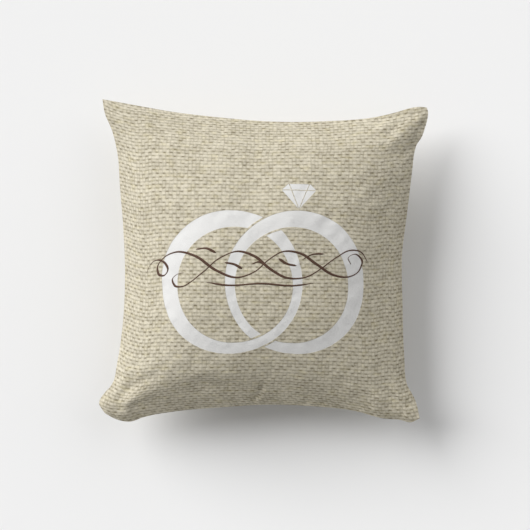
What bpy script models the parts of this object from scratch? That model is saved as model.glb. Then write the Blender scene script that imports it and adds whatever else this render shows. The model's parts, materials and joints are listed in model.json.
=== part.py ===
"""Square burlap throw pillow, lying on its back with its printed face up.

A zipped cover of two panels holds a sewn insert stuffed with fibre. The origin is under the
middle of the pillow, on the surface it lies on. +Z is up, out of the printed face, and +Y
points to the print's top edge. The zip is in the seam at -Y.

Near a seam the script works with two distances: inset, from the seam line towards the
middle of the pillow, and rise, up from the plane of the seam. Both are in metres.
"""

import math

import bmesh
import bpy
from mathutils import Matrix, Vector

MM = 0.001

# The cover as it lies stuffed
SIDE_HALF = 168 * MM  # middle of the pillow to the middle of a side
CORNER_REACH = 28 * MM  # how much further out a corner is than the middle of its sides
SIDE_RADIUS = 800 * MM  # the arc of each side between its two corner flares
FLARE_START = 150 * MM  # where a side leaves its arc and runs out to the corner
SEAM_HEIGHT = 65 * MM  # the seam's plane above the surface
CROWN = 75 * MM  # how far the face stands above the seam
SAG = 78 * MM  # how far the back would hang below the seam with nothing under it
ROUNDNESS = 2.4  # how long the dome stays flat before it turns down to its seam
STEEPNESS = 0.62  # below 1 the dome meets its seam at a steep angle

# Cloth
COVER_CLOTH = 0.8 * MM
INSERT_CLOTH = 0.5 * MM
GAP = 0.3 * MM  # between pieces that touch
LOOSE = 0.5 * MM  # between the cover, the insert and the filling
COVER_ALLOWANCE = 10 * MM  # the panels' edges turned in at the seam
INSERT_ALLOWANCE = 6 * MM
INSERT_INSET = 14.5 * MM  # the insert's seam from the cover's, at the middle of a side
STEPS = 9  # grid steps from the middle of a panel to its seam

# Sewing
THREAD = 0.5 * MM
SEAM_STITCH_INSET = 3 * MM
OVERLOCK_WIDTH = 1.6 * MM
OVERLOCK_THICK = 0.35 * MM
CLOSING_LENGTH = 150 * MM  # the gap that the insert was stuffed through
LABEL = (0.3 * MM, 14 * MM, 40 * MM)  # the care label's thickness, width and length
LABEL_LEAN = math.radians(32)

# The zip. It lies in a slot between the two panels
SLOT_HALF = 148 * MM
SLOT_TAPER = 17 * MM
SLOT_RISE = 3.9 * MM  # half of the slot's height
CHAIN_SHORT = 16 * MM  # from the slot's end to the chain's end
TAPE_THICK = 0.4 * MM
TAPE_INSET = 13.8 * MM  # the tapes' hidden edges
TAPE_SHORT = 5 * MM  # from the slot's end to the tapes' end
TAPE_BEND = (2 * MM, 4.5 * MM)  # where it starts and ends its rise to its panel, past its coil
TAPE_STITCH_INSET = 8 * MM
COIL_INSET = (3.3 * MM, 5.2 * MM)
COIL_RISE = (0.55 * MM, 2.15 * MM)
TOOTH_PITCH = 4.4 * MM
TOOTH_DEPTH = 0.5 * MM
STOP_LENGTH = 2 * MM
ZIP_STEPS = 16  # straight stretches in each tape

# The slider, a channel that hooks round both coils from outside
SLIDER_LENGTH = 9 * MM
SLIDER_WALL = 0.8 * MM
SLIDER_LIP = 0.7 * MM
SLIDER_HOOK = 0.65 * MM  # how far a lip reaches down behind its coil
WEDGE_HALF = 0.25 * MM
WEDGE_LENGTH = 4 * MM
WEDGE_BACK = 0.2 * MM  # from the slider's end
BRIDGE_HALF_LENGTH = 2.4 * MM
BRIDGE_HALF_WIDTH = 0.7 * MM
BRIDGE_WALL = 0.7 * MM
BRIDGE_THICK = 0.5 * MM
TAB_LENGTH = 15 * MM  # pivot to tip
TAB_HALF_WIDTH = 2.1 * MM
TAB_THICK = 0.6 * MM
TAB_EYE = 3.6 * MM  # pivot to the far end of the eye
TAB_PLAY = 0.4 * MM  # on each side of the bridge

SMOOTH_UP_TO = math.radians(40)

# What follows from those
CORNER_HALF = SIDE_HALF + CORNER_REACH  # middle of the pillow to a corner, along X and along Y
CHAIN_HALF = SLOT_HALF - CHAIN_SHORT
FLARE = CORNER_HALF - SIDE_HALF - SIDE_RADIUS + math.sqrt(SIDE_RADIUS**2 - CORNER_HALF**2)
INSERT_SHARE = 1 - INSERT_INSET / SIDE_HALF
FILL_SHARE = INSERT_SHARE - (INSERT_ALLOWANCE + 2 * LOOSE) / SIDE_HALF
ZIP_CENTRE = Vector((0, -SIDE_HALF - SIDE_RADIUS, SEAM_HEIGHT))
SLIDER_OUTSIDE = COIL_INSET[0] - GAP - SLIDER_WALL
PIVOT_INSET = SLIDER_OUTSIDE - GAP - TAB_THICK / 2
BRIDGE_TOP = PIVOT_INSET - TAB_THICK / 2 - GAP - BRIDGE_THICK
SLIDER_REST = CHAIN_HALF - GAP - SLIDER_LENGTH / 2
UP, DOWN = 1, -1


# ---------------------------------------------------------------- materials

def material(name, colour, roughness, metallic=0.0):
    made = bpy.data.materials.new(name)
    made.use_nodes = True
    shader = made.node_tree.nodes["Principled BSDF"]
    shader.inputs["Base Color"].default_value = (*colour, 1)
    shader.inputs["Roughness"].default_value = roughness
    shader.inputs["Metallic"].default_value = metallic
    return made


# ---------------------------------------------------------------- the pillow's form

def bow(share):
    """How far a side stands out from its middle, at this share of the way to its corner."""
    along = abs(share) * CORNER_HALF
    arc = SIDE_RADIUS - math.sqrt(SIDE_RADIUS**2 - along**2)
    past = max(0, along - FLARE_START) / (CORNER_HALF - FLARE_START)
    return arc + FLARE * past**2


def plan(s, t):
    """The place in plan of a point of the cover, for s and t from -1 to 1."""
    return s * (SIDE_HALF + bow(t)), t * (SIDE_HALF + bow(s))


def turned_in(s, t, share, inset):
    """The place in plan that lies inset from the edge of a panel with this share.

    It keeps its place along the side, except near a corner, where both sides close in.
    """
    along, across = (s, t) if abs(t) == 1 else (t, s)
    shrunk = share - inset / SIDE_HALF
    free = along * share * (SIDE_HALF + bow(share))
    mitred = along * shrunk * (SIDE_HALF + bow(shrunk))
    a = free + (mitred - free) * abs(along) ** 5
    b = math.copysign(shrunk * (SIDE_HALF + bow(a / (SIDE_HALF + bow(shrunk)))), across)
    return (a, b) if abs(t) == 1 else (b, a)


def dome(s, t):
    """The height of a stuffed panel, from 0 along its seam to 1 in the middle."""
    f, g = ((1 - min(1, abs(x)) ** ROUNDNESS) ** STEEPNESS for x in (s, t))
    if min(f, g) < 1e-6:
        return 0
    least = math.sqrt(2 / (f**-2 + g**-2))
    return math.sqrt(f * g * least)


def stations(snaps=()):
    """Grid places from -1 to 1, closer together near the seam. Each snap moves the nearest."""
    places = [math.sin(math.pi / 2 * i / STEPS) for i in range(STEPS + 1)]
    for snap in snaps:
        nearest = min(range(1, STEPS), key=lambda i: abs(places[i] - snap))
        places[nearest] = snap
    return [-x for x in reversed(places[1:])] + places


SLOT_SNAPS = (SLOT_HALF / CORNER_HALF, (SLOT_HALF + SLOT_TAPER) / CORNER_HALF)


def slot(s, t, half_height):
    """How far a cover panel's edge is lifted off the seam's plane at a point of its edge."""
    if t > -1 or abs(s) > SLOT_SNAPS[0] + 1e-9:
        return GAP / 2
    return half_height


def ring(places):
    """The (s, t) of every edge point, once round from the corner at -X -Y."""
    ends = places[:-1]
    return (
        [(s, -1) for s in ends]
        + [(1, t) for t in ends]
        + [(-s, 1) for s in ends]
        + [(-1, -t) for t in ends]
    )


def cells(places):
    """Every triangle of the grid as three (s, t), counterclockwise, its long side to a corner."""
    for t, t_next in zip(places, places[1:]):
        for s, s_next in zip(places, places[1:]):
            a, b, c, d = (s, t), (s_next, t), (s_next, t_next), (s, t_next)
            yield from ((a, b, c), (a, c, d)) if (s + s_next) * (t + t_next) > 0 else (
                (a, b, d),
                (b, c, d),
            )


# ---------------------------------------------------------------- making objects

def from_faces(name, points, faces, paint):
    mesh = bpy.data.meshes.new(name)
    mesh.from_pydata(points, [], faces)
    shape = bmesh.new()
    shape.from_mesh(mesh)
    bmesh.ops.recalc_face_normals(shape, faces=shape.faces)
    if shape.calc_volume(signed=True) < 0:
        bmesh.ops.reverse_faces(shape, faces=shape.faces)
    shape.to_mesh(mesh)
    shape.free()
    mesh.shade_smooth()
    mesh.set_sharp_from_angle(angle=SMOOTH_UP_TO)
    mesh.materials.append(paint)
    made = bpy.data.objects.new(name, mesh)
    bpy.context.scene.collection.objects.link(made)
    return made


def sweep(name, sections, paint, closed=False):
    """A solid through a row of sections with the same number of points each."""
    count = len(sections[0])
    points = [p for section in sections for p in section]
    faces = []
    for i in range(len(sections) - (not closed)):
        here, there = i * count, (i + 1) % len(sections) * count
        for j in range(count):
            k = (j + 1) % count
            faces.append((here + j, here + k, there + k, there + j))
    if not closed:
        faces += [tuple(range(count)), tuple(range(len(points) - count, len(points)))]
    return from_faces(name, points, faces, paint)


def prism(outline, low, high, place):
    """A prism on an outline. place(a, b, c) gives the point of outline point (a, b) at c."""
    ends = [[place(a, b, c) for a, b in outline] for c in (low, high)]
    return sweep("piece", ends, None)


def fuse(first, *others):
    """Joins solids that overlap into the first."""
    for other in others:
        join = first.modifiers.new("join", "BOOLEAN")
        join.operation = "UNION"
        join.object = other
    graph = bpy.context.evaluated_depsgraph_get()
    mesh = bpy.data.meshes.new_from_object(first.evaluated_get(graph))
    first.modifiers.clear()
    first.data = mesh
    for other in others:
        bpy.data.objects.remove(other)
    return first


# ---------------------------------------------------------------- cloth

def panel(name, side, share, height, floor, cloth, allowance, slot_height, paint):
    """A stuffed panel with its edge turned in along the seam's plane.

    side is UP for the face and DOWN for the back, share is the panel's size as a share of the
    cover's, height is the dome's and floor the lowest that its outside may lie.
    """
    places = stations(SLOT_SNAPS)
    edge = ring(places)

    def outside(s, t):
        x, y = plan(s * share, t * share)
        rise = max(slot(s, t, slot_height), height * dome(s, t) + GAP / 2)
        z = SEAM_HEIGHT + side * rise
        return Vector((x, y, max(z, floor) if side == DOWN else z))

    points = [outside(s, t) for t in places for s in places]
    index = {key: i for i, key in enumerate((s, t) for t in places for s in places)}
    faces = [tuple(index[key] for key in cell) for cell in cells(places)]
    mesh = bpy.data.meshes.new(name)
    mesh.from_pydata(points, [], faces)
    outward = [n.vector * side for n in mesh.vertex_normals]
    bpy.data.meshes.remove(mesh)

    def inside(s, t, inset, rise):
        z = SEAM_HEIGHT + side * (slot(s, t, slot_height) + rise)
        return Vector((*turned_in(s, t, share, inset), z))

    # From the seam in along the turned-in edge, round its end and back out to the wall
    loop = [index[key] for key in edge]
    for inset, rise in ((allowance, 0), (allowance, cloth), (cloth * 1.5, cloth)):
        following = list(range(len(points), len(points) + len(edge)))
        points += [inside(s, t, inset, rise) for s, t in edge]
        for i in range(len(edge)):
            j = (i + 1) % len(edge)
            faces.append((loop[i], loop[j], following[j], following[i]))
        loop = following
    inner = dict(zip(edge, loop))
    for key, i in index.items():
        if key not in inner:
            inner[key] = len(points)
            points.append(points[i] - outward[i] * cloth)
    faces += [tuple(inner[key] for key in reversed(cell)) for cell in cells(places)]
    return from_faces(name, points, faces, paint)


def filling(name, share, crown, sag, floor, paint):
    """The stuffing, one soft body shaped by the insert round it."""
    places = stations()
    points, index = [], {}
    for side, height in ((UP, crown), (DOWN, sag)):
        for t in places:
            for s in places:
                on_edge = max(abs(s), abs(t)) == 1
                if on_edge and side == DOWN:
                    index[side, s, t] = index[UP, s, t]
                    continue
                index[side, s, t] = len(points)
                x, y = plan(s * share, t * share)
                z = SEAM_HEIGHT + side * height * dome(s, t)
                points.append(Vector((x, y, max(z, floor))))
    faces = [
        tuple(index[side, s, t] for s, t in cell) for side in (UP, DOWN) for cell in cells(places)
    ]
    return from_faces(name, points, faces, paint)


# ---------------------------------------------------------------- sewing

def seam_path(first_gap, share):
    """Edge points that follow the seam from one end of a gap in the -Y side to the other."""
    edge = ring(stations(SLOT_SNAPS))
    count = len(edge)
    side = count // 4
    start = next(i for i in range(side) if edge[i][0] * CORNER_HALF * share > first_gap)
    return [edge[(start + i) % count] for i in range(count - 2 * start + side + 1)]


def thread(name, path, share, inset, rise, paint):
    """A line of stitches, as one thread laid along the seam."""
    curve = bpy.data.curves.new(name, "CURVE")
    curve.dimensions = "3D"
    curve.bevel_depth = THREAD / 2
    curve.bevel_resolution = 0
    curve.use_fill_caps = True
    line = curve.splines.new("POLY")
    line.points.add(len(path) - 1)
    for point, (s, t) in zip(line.points, path):
        point.co = (*turned_in(s, t, share, inset), SEAM_HEIGHT + rise, 1)
    made = bpy.data.objects.new(name, curve)
    bpy.context.scene.collection.objects.link(made)
    curve.materials.append(paint)
    return made


def overlock(name, path, paint):
    """The thread that wraps both panels' cut edges, all along the seam."""
    out, over = COVER_ALLOWANCE + GAP, GAP / 2 + COVER_CLOTH + GAP
    near = out - OVERLOCK_WIDTH
    far, top = out + OVERLOCK_THICK, over + OVERLOCK_THICK
    outline = [(near, top), (far, top), (far, -top), (near, -top)]
    outline += [(near, -over), (out, -over), (out, over), (near, over)]
    sections = [
        [Vector((*turned_in(s, t, 1, inset), SEAM_HEIGHT + rise)) for inset, rise in outline]
        for s, t in path
    ]
    return sweep(name, sections, paint)


def care_label(name, paint):
    """A blank label caught in the seam at -X, inside the cover."""
    thick, wide, long = LABEL
    foot = COVER_CLOTH + GAP / 2 + GAP + thick
    box = prism(
        [(0, -thick / 2), (wide, -thick / 2), (wide, thick / 2), (0, thick / 2)],
        -long / 2,
        long / 2,
        lambda a, b, c: Vector((b, c, a)),
    )
    box.data.transform(Matrix.Rotation(LABEL_LEAN, 4, "Y"))
    box.data.transform(
        Matrix.Translation((-SIDE_HALF + SEAM_STITCH_INSET + THREAD + LOOSE, 0, SEAM_HEIGHT + foot))
    )
    box.name = name
    box.data.materials[0] = paint
    return box


# ---------------------------------------------------------------- the zip

def beside_zip(along, inset, rise):
    """A point by the zip: along it from its middle, then inset and rise."""
    angle = along / SIDE_RADIUS
    out = SIDE_RADIUS + inset
    return ZIP_CENTRE + Vector((out * math.sin(angle), out * math.cos(angle), rise))


def spaced(half):
    """Even distances along the zip, from -half to half."""
    return [(2 * i / ZIP_STEPS - 1) * half for i in range(ZIP_STEPS + 1)]


def tape(name, side, paint):
    """A woven tape, from its coil back to where it lies flat on its panel's turned-in edge."""
    low = COIL_RISE[0] + GAP / 2
    flat = SLOT_RISE - GAP - TAPE_THICK
    start = COIL_INSET[1] + GAP
    bend, bent = (start + past for past in TAPE_BEND)
    line = [(start, low), (bend, low), (bent, flat), (TAPE_INSET, flat)]
    outline = line + [(inset, rise + TAPE_THICK) for inset, rise in reversed(line)]
    sections = [
        [beside_zip(x, inset, side * rise) for inset, rise in outline]
        for x in spaced(SLOT_HALF - TAPE_SHORT)
    ]
    return sweep(name, sections, paint)


def coil(name, side, paint):
    """One row of teeth on its cord."""
    count = round(2 * CHAIN_HALF / TOOTH_PITCH)
    pitch = 2 * CHAIN_HALF / count
    low, high = COIL_RISE
    sections = []
    for i in range(count):
        middle = -CHAIN_HALF + (i + 0.5) * pitch
        for offset, root in ((-0.5, TOOTH_DEPTH), (-0.3, 0), (0.3, 0), (0.5, TOOTH_DEPTH)):
            if offset == -0.5 and i:
                continue
            corners = [
                (COIL_INSET[0], low + root),
                (COIL_INSET[1], low + root),
                (COIL_INSET[1], high),
                (COIL_INSET[0], high),
            ]
            along = middle + offset * pitch
            sections.append([beside_zip(along, inset, side * rise) for inset, rise in corners])
    return sweep(name, sections, paint)


def tape_thread(name, side, paint):
    """The stitches that hold a tape to its panel's turned-in edge, on the panel's side."""
    rise = side * (SLOT_RISE + COVER_CLOTH + GAP + THREAD / 2)
    half = THREAD / 2
    corners = [(-half, 0), (0, -half), (half, 0), (0, half)]
    sections = [
        [beside_zip(x, TAPE_STITCH_INSET + across, rise + up) for across, up in corners]
        for x in spaced(SLOT_HALF - 2 * TAPE_SHORT)
    ]
    return sweep(name, sections, paint)


def stop(name, along, low, high, paint):
    """A block crimped on the chain that the slider runs up against."""
    corners = [(inset, rise) for inset, rise in zip((0, 1, 1, 0), (low, low, high, high))]
    span = (COIL_INSET[0], COIL_INSET[1])
    sections = [
        [beside_zip(x, span[inset], rise) for inset, rise in corners]
        for x in (along, along + STOP_LENGTH)
    ]
    return sweep(name, sections, paint)


def slider_frame():
    """Carries a piece modelled at the middle of the zip to the slider's place at rest."""
    turn = Matrix.Rotation(-SLIDER_REST / SIDE_RADIUS, 4, "Z")
    return Matrix.Translation(ZIP_CENTRE) @ turn @ Matrix.Translation((0, SIDE_RADIUS, 0))


def slider_body(name, paint):
    """A channel round both coils, with the wedge that parts them and the tab's bridge."""
    outside, inside = SLIDER_OUTSIDE, SLIDER_OUTSIDE + SLIDER_WALL
    lip, back = COIL_INSET[1] + GAP, COIL_INSET[1] + GAP + SLIDER_LIP
    side_in, side_out = COIL_RISE[1] + GAP, COIL_RISE[1] + GAP + SLIDER_WALL
    hook = COIL_RISE[1] - SLIDER_HOOK
    upper = [(outside, side_out), (back, side_out), (back, hook), (lip, hook)]
    upper += [(lip, side_in), (inside, side_in)]
    channel = upper + [(inset, -rise) for inset, rise in reversed(upper)]
    half = SLIDER_LENGTH / 2
    body = prism(channel, -half, half, lambda a, b, c: Vector((c, a, b)))
    wedge = prism(
        [(half - WEDGE_LENGTH, 0), (half - WEDGE_LENGTH / 2, -WEDGE_HALF)]
        + [(half - WEDGE_BACK, 0), (half - WEDGE_LENGTH / 2, WEDGE_HALF)],
        inside - SLIDER_WALL / 2,
        COIL_INSET[1],
        lambda a, b, c: Vector((a, c, b)),
    )
    reach, wall, foot = BRIDGE_HALF_LENGTH, BRIDGE_WALL, outside + SLIDER_WALL / 2
    under = BRIDGE_TOP + BRIDGE_THICK
    arch = [(-reach, foot), (-reach, BRIDGE_TOP), (reach, BRIDGE_TOP), (reach, foot)]
    arch += [(reach - wall, foot), (reach - wall, under), (wall - reach, under), (wall - reach, foot)]
    bridge = prism(
        arch, -BRIDGE_HALF_WIDTH, BRIDGE_HALF_WIDTH, lambda a, b, c: Vector((a, b, c))
    )
    made = fuse(body, wedge, bridge)
    made.name = name
    made.data.materials.clear()
    made.data.materials.append(paint)
    made.matrix_world = slider_frame()
    return made


def pull_tab(name, paint):
    """A tab with an eye. The eye's bar turns under the slider's bridge, on the tab's origin."""
    arm_in = BRIDGE_HALF_WIDTH + TAB_PLAY
    half = TAB_THICK / 2

    def plate(outline):
        return prism(outline, -half, half, lambda a, b, c: Vector((a, c, b)))

    arms = [
        plate([(-TAB_EYE - half, low), (half, low), (half, high), (-TAB_EYE - half, high)])
        for low, high in ((arm_in, TAB_HALF_WIDTH), (-TAB_HALF_WIDTH, -arm_in))
    ]
    bar = prism(
        [(half * math.cos(i * math.pi / 4), half * math.sin(i * math.pi / 4)) for i in range(8)],
        -arm_in - half,
        arm_in + half,
        lambda a, b, c: Vector((a, b, c)),
    )
    straight = TAB_LENGTH - TAB_HALF_WIDTH
    tip = [
        (-straight - TAB_HALF_WIDTH * math.sin(a), TAB_HALF_WIDTH * math.cos(a))
        for a in (math.pi * i / 8 for i in range(9))
    ]
    blade = plate([(-TAB_EYE, TAB_HALF_WIDTH), *tip, (-TAB_EYE, -TAB_HALF_WIDTH)])
    made = fuse(blade, *arms, bar)
    made.name = name
    made.data.materials.clear()
    made.data.materials.append(paint)
    made.matrix_world = slider_frame() @ Matrix.Translation((0, PIVOT_INSET, 0))
    return made


# ---------------------------------------------------------------- the pillow

def cover(burlap, thread_paint, label_paint):
    common = (COVER_CLOTH, COVER_ALLOWANCE, SLOT_RISE, burlap)
    panel("cover_front_panel", UP, 1, CROWN, 0, *common)
    panel("cover_back_panel", DOWN, 1, SAG, 0, *common)
    path = seam_path(SLOT_HALF + SLOT_TAPER - 1 * MM, 1)
    over = GAP / 2 + COVER_CLOTH + GAP + THREAD / 2
    for name, rise in (("needle", over), ("bobbin", -over)):
        thread(f"cover_seam_{name}_thread", path, 1, SEAM_STITCH_INSET, rise, thread_paint)
    overlock("cover_overlock_thread", path, thread_paint)
    care_label("care_label", label_paint)


def zipper(tape_paint, coil_paint, thread_paint, metal):
    for side, word in ((UP, "front"), (DOWN, "back")):
        tape(f"zipper_tape_{word}", side, tape_paint)
        coil(f"zipper_coil_{word}", side, coil_paint)
        tape_thread(f"zipper_stitching_{word}", side, thread_paint)
        low, high = (side * rise for rise in COIL_RISE)
        stop(f"zipper_top_stop_{word}", CHAIN_HALF + GAP, low, high, metal)
    stop("zipper_bottom_stop", -CHAIN_HALF - GAP - STOP_LENGTH, -COIL_RISE[1], COIL_RISE[1], metal)
    slider_body("zipper_slider_body", metal)
    pull_tab("zipper_pull_tab", metal)


def insert(lining, thread_paint, fibre):
    inside = COVER_CLOTH + LOOSE
    common = (INSERT_CLOTH, INSERT_ALLOWANCE, GAP / 2, lining)
    panel("insert_front_panel", UP, INSERT_SHARE, CROWN - inside, 0, *common)
    panel("insert_back_panel", DOWN, INSERT_SHARE, SAG - inside, inside, *common)
    rise = GAP / 2 + INSERT_CLOTH + GAP + THREAD / 2
    half = CLOSING_LENGTH / 2
    path = seam_path(half, INSERT_SHARE)
    thread("insert_seam_thread", path, INSERT_SHARE, SEAM_STITCH_INSET, rise, thread_paint)
    closing = [(s, -1) for s in stations() if abs(s) * CORNER_HALF * INSERT_SHARE <= half]
    thread("insert_closing_thread", closing, INSERT_SHARE, SEAM_STITCH_INSET, rise, thread_paint)
    inside += INSERT_CLOTH + LOOSE
    filling("fibre_fill", FILL_SHARE, CROWN - inside, SAG - inside, inside, fibre)


def main():
    for old in list(bpy.data.objects):
        bpy.data.objects.remove(old)
    thread_paint = material("thread", (0.62, 0.57, 0.45), 0.7)
    cover(
        material("burlap_print", (0.58, 0.53, 0.38), 0.9),
        thread_paint,
        material("label_satin", (0.86, 0.85, 0.82), 0.5),
    )
    zipper(
        material("zipper_tape", (0.66, 0.60, 0.46), 0.85),
        material("zipper_coil", (0.68, 0.63, 0.50), 0.45),
        thread_paint,
        material("zipper_metal", (0.62, 0.60, 0.56), 0.32, 1.0),
    )
    insert(
        material("insert_lining", (0.88, 0.88, 0.86), 0.85),
        material("insert_thread", (0.85, 0.85, 0.83), 0.7),
        material("polyester_fibre", (0.93, 0.93, 0.92), 0.95),
    )


main()
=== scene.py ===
"""The looks of a square cushion in a burlap-print cover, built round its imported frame.

The cover's two panels are simulated as cloth, sewn along the outline below and blown up until
they are taut. All that is sewn to them, and the insert inside, is then laid out from the
panels' own grid. Lengths are in metres, in the frame of the part.
"""

import json
import math

import bpy
import numpy as np
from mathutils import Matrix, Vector


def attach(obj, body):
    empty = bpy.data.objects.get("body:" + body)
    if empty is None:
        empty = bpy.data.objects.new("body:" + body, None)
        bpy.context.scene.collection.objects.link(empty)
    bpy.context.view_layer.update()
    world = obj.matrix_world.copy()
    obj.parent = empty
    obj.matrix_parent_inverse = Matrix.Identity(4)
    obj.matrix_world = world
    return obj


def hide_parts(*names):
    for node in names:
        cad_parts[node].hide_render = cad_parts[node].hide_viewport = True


MM = 0.001
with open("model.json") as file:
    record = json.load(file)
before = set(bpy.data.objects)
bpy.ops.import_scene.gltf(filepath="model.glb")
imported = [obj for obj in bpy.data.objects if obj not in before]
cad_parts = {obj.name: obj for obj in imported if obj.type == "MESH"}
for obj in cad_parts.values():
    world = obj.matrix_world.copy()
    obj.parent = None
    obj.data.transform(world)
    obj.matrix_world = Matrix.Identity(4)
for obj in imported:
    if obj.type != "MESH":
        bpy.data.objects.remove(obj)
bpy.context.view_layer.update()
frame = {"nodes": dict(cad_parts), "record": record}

# ---------------------------------------------------------------- camera, light and floor

CAMERA_AT = (1.2 * MM, -3 * MM, 1.9)
SENSOR = 36  # the width that the camera's lens is measured against
CAMERA_REACH = 100  # how far the floor still shows
VIEW_WIDTH = 633 * MM  # across the picture, at the height of the seam
SEAM = 65 * MM  # the seam's plane above the floor
LIGHTS = {  # where each comes from, its strength and how wide it looks, in degrees
    "key": ((-0.687, 0.481, 0.545), 3.48, 45),
    "fill": ((0.627, 0.527, 0.574), 0.67, 60),
}
SKY = {"Color": (1, 1, 1, 1), "Strength": 0.323}
FLOOR_HALF = 40.0  # far enough for the floor's edge to stay out of views from near its level
FLOOR = {"Base Color": (0.84, 0.84, 0.84, 1), "Roughness": 0.9, "Specular IOR Level": 0.1}


def studio():
    scene = bpy.context.scene
    scene.view_settings.view_transform = "Standard"
    camera = bpy.data.objects.new("camera", bpy.data.cameras.new("camera"))
    camera.location = CAMERA_AT
    camera.data.sensor_width = SENSOR
    camera.data.lens = SENSOR * (CAMERA_AT[2] - SEAM) / VIEW_WIDTH
    camera.data.clip_end = CAMERA_REACH
    scene.collection.objects.link(camera)
    scene.camera = camera
    for name, (where, strength, wide) in LIGHTS.items():
        light = bpy.data.objects.new(name, bpy.data.lights.new(name, "SUN"))
        light.data.energy = strength
        light.data.angle = math.radians(wide)
        light.rotation_euler = Vector(where).to_track_quat("Z", "Y").to_euler()
        scene.collection.objects.link(light)
    world = bpy.data.worlds.new("studio")
    world.use_nodes = True
    for key, value in SKY.items():
        world.node_tree.nodes["Background"].inputs[key].default_value = value
    scene.world = world
    mesh = bpy.data.meshes.new("floor")
    corners = [(-1, -1), (1, -1), (1, 1), (-1, 1)]
    corners = [(x * FLOOR_HALF, y * FLOOR_HALF, 0) for x, y in corners]
    mesh.from_pydata(corners, [], [(0, 1, 2, 3)])
    floor = bpy.data.objects.new("floor", mesh)
    scene.collection.objects.link(floor)
    paint = bpy.data.materials.new("floor")
    paint.use_nodes = True
    for key, value in FLOOR.items():
        paint.node_tree.nodes["Principled BSDF"].inputs[key].default_value = value
    mesh.materials.append(paint)


studio()

# ---------------------------------------------------------------- sizes

# Each side's seam line, corner to corner, in millimetres: two run along X and two along Y
TOP = [(-193, 195), (-160, 189), (-106, 179.5), (-50, 173), (0, 168.8), (75, 168.8)]
TOP += [(140, 175), (160, 180), (175, 184.5), (186, 186), (194.5, 185)]
BOTTOM = [(-190, -180), (-177, -187), (-160, -190), (-142, -184), (-106, -177.5)]
BOTTOM += [(-50, -172.5), (0, -169.5), (60, -171.5), (109, -177), (145, -186.5)]
BOTTOM += [(163, -188), (175, -191), (186, -186)]
LEFT = [(-190, -180), (-197, -168), (-190, -155), (-182, -146), (-175, -118), (-168, -65)]
LEFT += [(-166, -15), (-168, 40), (-172, 90), (-175, 130), (-182, 159), (-190, 178)]
LEFT += [(-193, 195)]
RIGHT = [(186, -186), (180.5, -164), (171, -146), (167.5, -112), (165.5, -50), (165, 10)]
RIGHT += [(171, 60), (177, 110), (180, 133), (182, 140), (188, 149), (192, 160), (195, 171)]
RIGHT += [(196, 179), (194.5, 185)]

CELLS = 72  # of each panel's grid, along a side
COUNT = CELLS + 1  # its places along a side
REST_HALF = 192 * MM  # half of a panel's side before it is sewn
REST_APART = 0.1  # how far the two panels lie off the seam's plane before they are sewn
FLAT_HALF = 205 * MM  # a little over half of the printed side
SIM_FRAMES = 36
CLOTH = {  # how the cover's cloth gives, in the cloth modifier's own words
    "quality": 5,
    "mass": 0.15,
    "tension_stiffness": 25,
    "compression_stiffness": 15,
    "shear_stiffness": 4,
    "bending_stiffness": 0.6,
    "tension_damping": 8,
    "compression_damping": 8,
    "shear_damping": 6,
    "bending_damping": 0.8,
    "air_damping": 2,
    "use_pressure": True,
    "uniform_pressure_force": 12,
}
CROWN = 72 * MM  # the height that the simulation starts from
DOME_TOP, DOME_SIDE = 2.4, 0.62  # the powers that make its top flat and its sides full
JITTER = 0.2 * MM  # how unevenly it starts
STUFFED = 76 * MM  # a stuffed panel's height over the seam
ROUNDED = 1.8  # above 1 the stuffed panels fall away sooner, down to a sharper seam
LEAN = (0.13, 0.08)  # how far the crown lies towards -X and -Y of the middle, as a share
KEPT = 0.25  # the share of the blown-up form that stays as it was
SEAM_GAP = 0.2 * MM  # from the seam's plane to each panel
FLAP_DROP = 0.12 * MM  # how much nearer to that plane the turned-in edges lie
LEAST_CLOTH = 0.02 * MM  # between a turned-in edge and the cloth over it, in a tight place
COVER_CLOTH = 0.8 * MM
ALLOWANCE = 10 * MM  # how far the cover's edges are turned in
SIDE_HALF = 168 * MM  # from the cushion's middle to the middle of a side's seam
ZIP_SIDE = -120 * MM  # the places beyond this y are on the zip's side
SLOT_RISE = 3.9 * MM  # half of the height of the zip's slot
SLOT_OPEN, SLOT_SHUT = 136 * MM, 152 * MM  # where the slot begins to close, and is closed
LIP_REACH = 40 * MM  # how far in from the slot the panels are lifted with its lips
UP, DOWN = 1, -1
RANDOM = np.random.default_rng(7)


# ---------------------------------------------------------------- the cover's outline and form

def through(points, count):
    """This many places on a smooth curve through the points, spaced by distance."""
    p = np.array(points, float) * MM
    at = np.r_[0, np.cumsum(np.linalg.norm(np.diff(p, axis=0), axis=1))]
    at /= at[-1]
    slope = np.gradient(p, at, axis=0)
    t = np.linspace(0, 1, count)
    i = np.clip(np.searchsorted(at, t, "right") - 1, 0, len(at) - 2)
    h = (at[i + 1] - at[i])[:, None]
    u = (t - at[i])[:, None] / h
    return (
        (2 * u**3 - 3 * u**2 + 1) * p[i]
        + (u**3 - 2 * u**2 + u) * h * slope[i]
        + (-2 * u**3 + 3 * u**2) * p[i + 1]
        + (u**3 - u**2) * h * slope[i + 1]
    )


def plan_grid(count):
    """The panels' grid in plan: rows run along X, from the side at -Y to the one at +Y."""
    top, bottom, left, right = (through(side, count) for side in (TOP, BOTTOM, LEFT, RIGHT))
    u = np.linspace(0, 1, count)
    s, t = (x[..., None] for x in np.meshgrid(u, u))
    return (
        (1 - t) * bottom[None]
        + t * top[None]
        + (1 - s) * left[:, None]
        + s * right[:, None]
        - (1 - s) * (1 - t) * bottom[0]
        - s * (1 - t) * bottom[-1]
        - (1 - s) * t * top[0]
        - s * t * top[-1]
    )


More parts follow.
